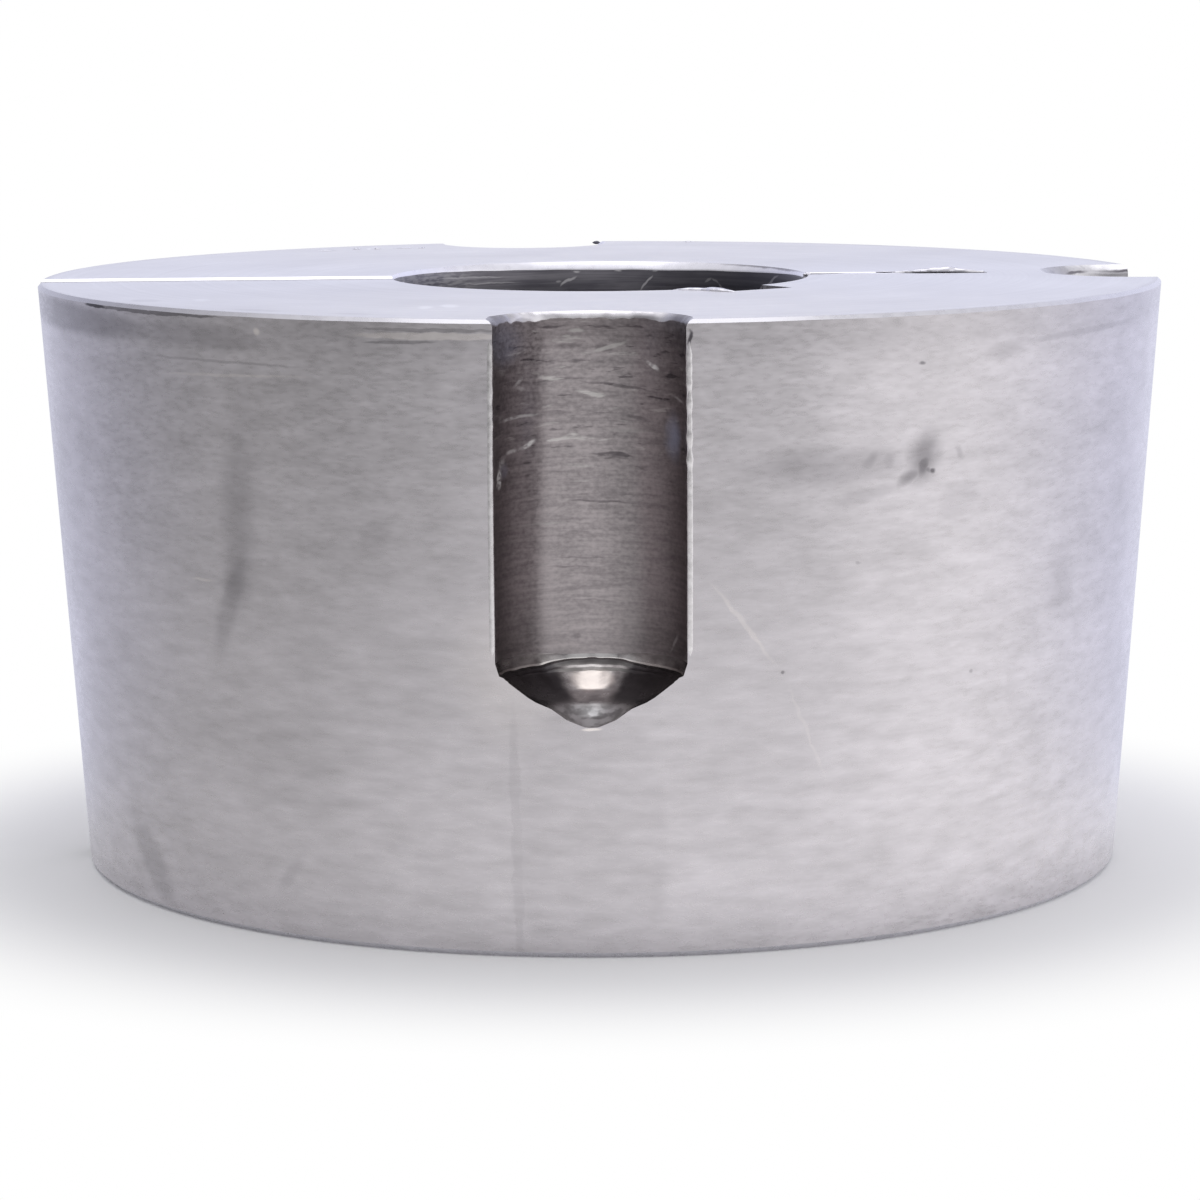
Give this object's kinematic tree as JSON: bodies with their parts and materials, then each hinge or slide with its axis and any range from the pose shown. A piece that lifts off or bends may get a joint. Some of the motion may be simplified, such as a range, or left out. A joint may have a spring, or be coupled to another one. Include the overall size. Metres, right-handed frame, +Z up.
{
  "type": "taper bush",
  "caption": "Split steel taper bush with a keyed bore and half-round screw holes at its large end; drawn into a tapered hub, it closes on the shaft",
  "frame": {"origin": "centre of the small end face, on the axis of the bore", "axes": "+Z up the bore towards the large end, +X through the threaded half-hole and the relief cut, so the split is at -X"},
  "size_m": [0.0851, 0.0854, 0.0444],
  "materials": {
    "steel": "satin turned"
  },
  "bodies": {
    "root": {"taper_bush": "steel"}
  },
  "joints": []
}
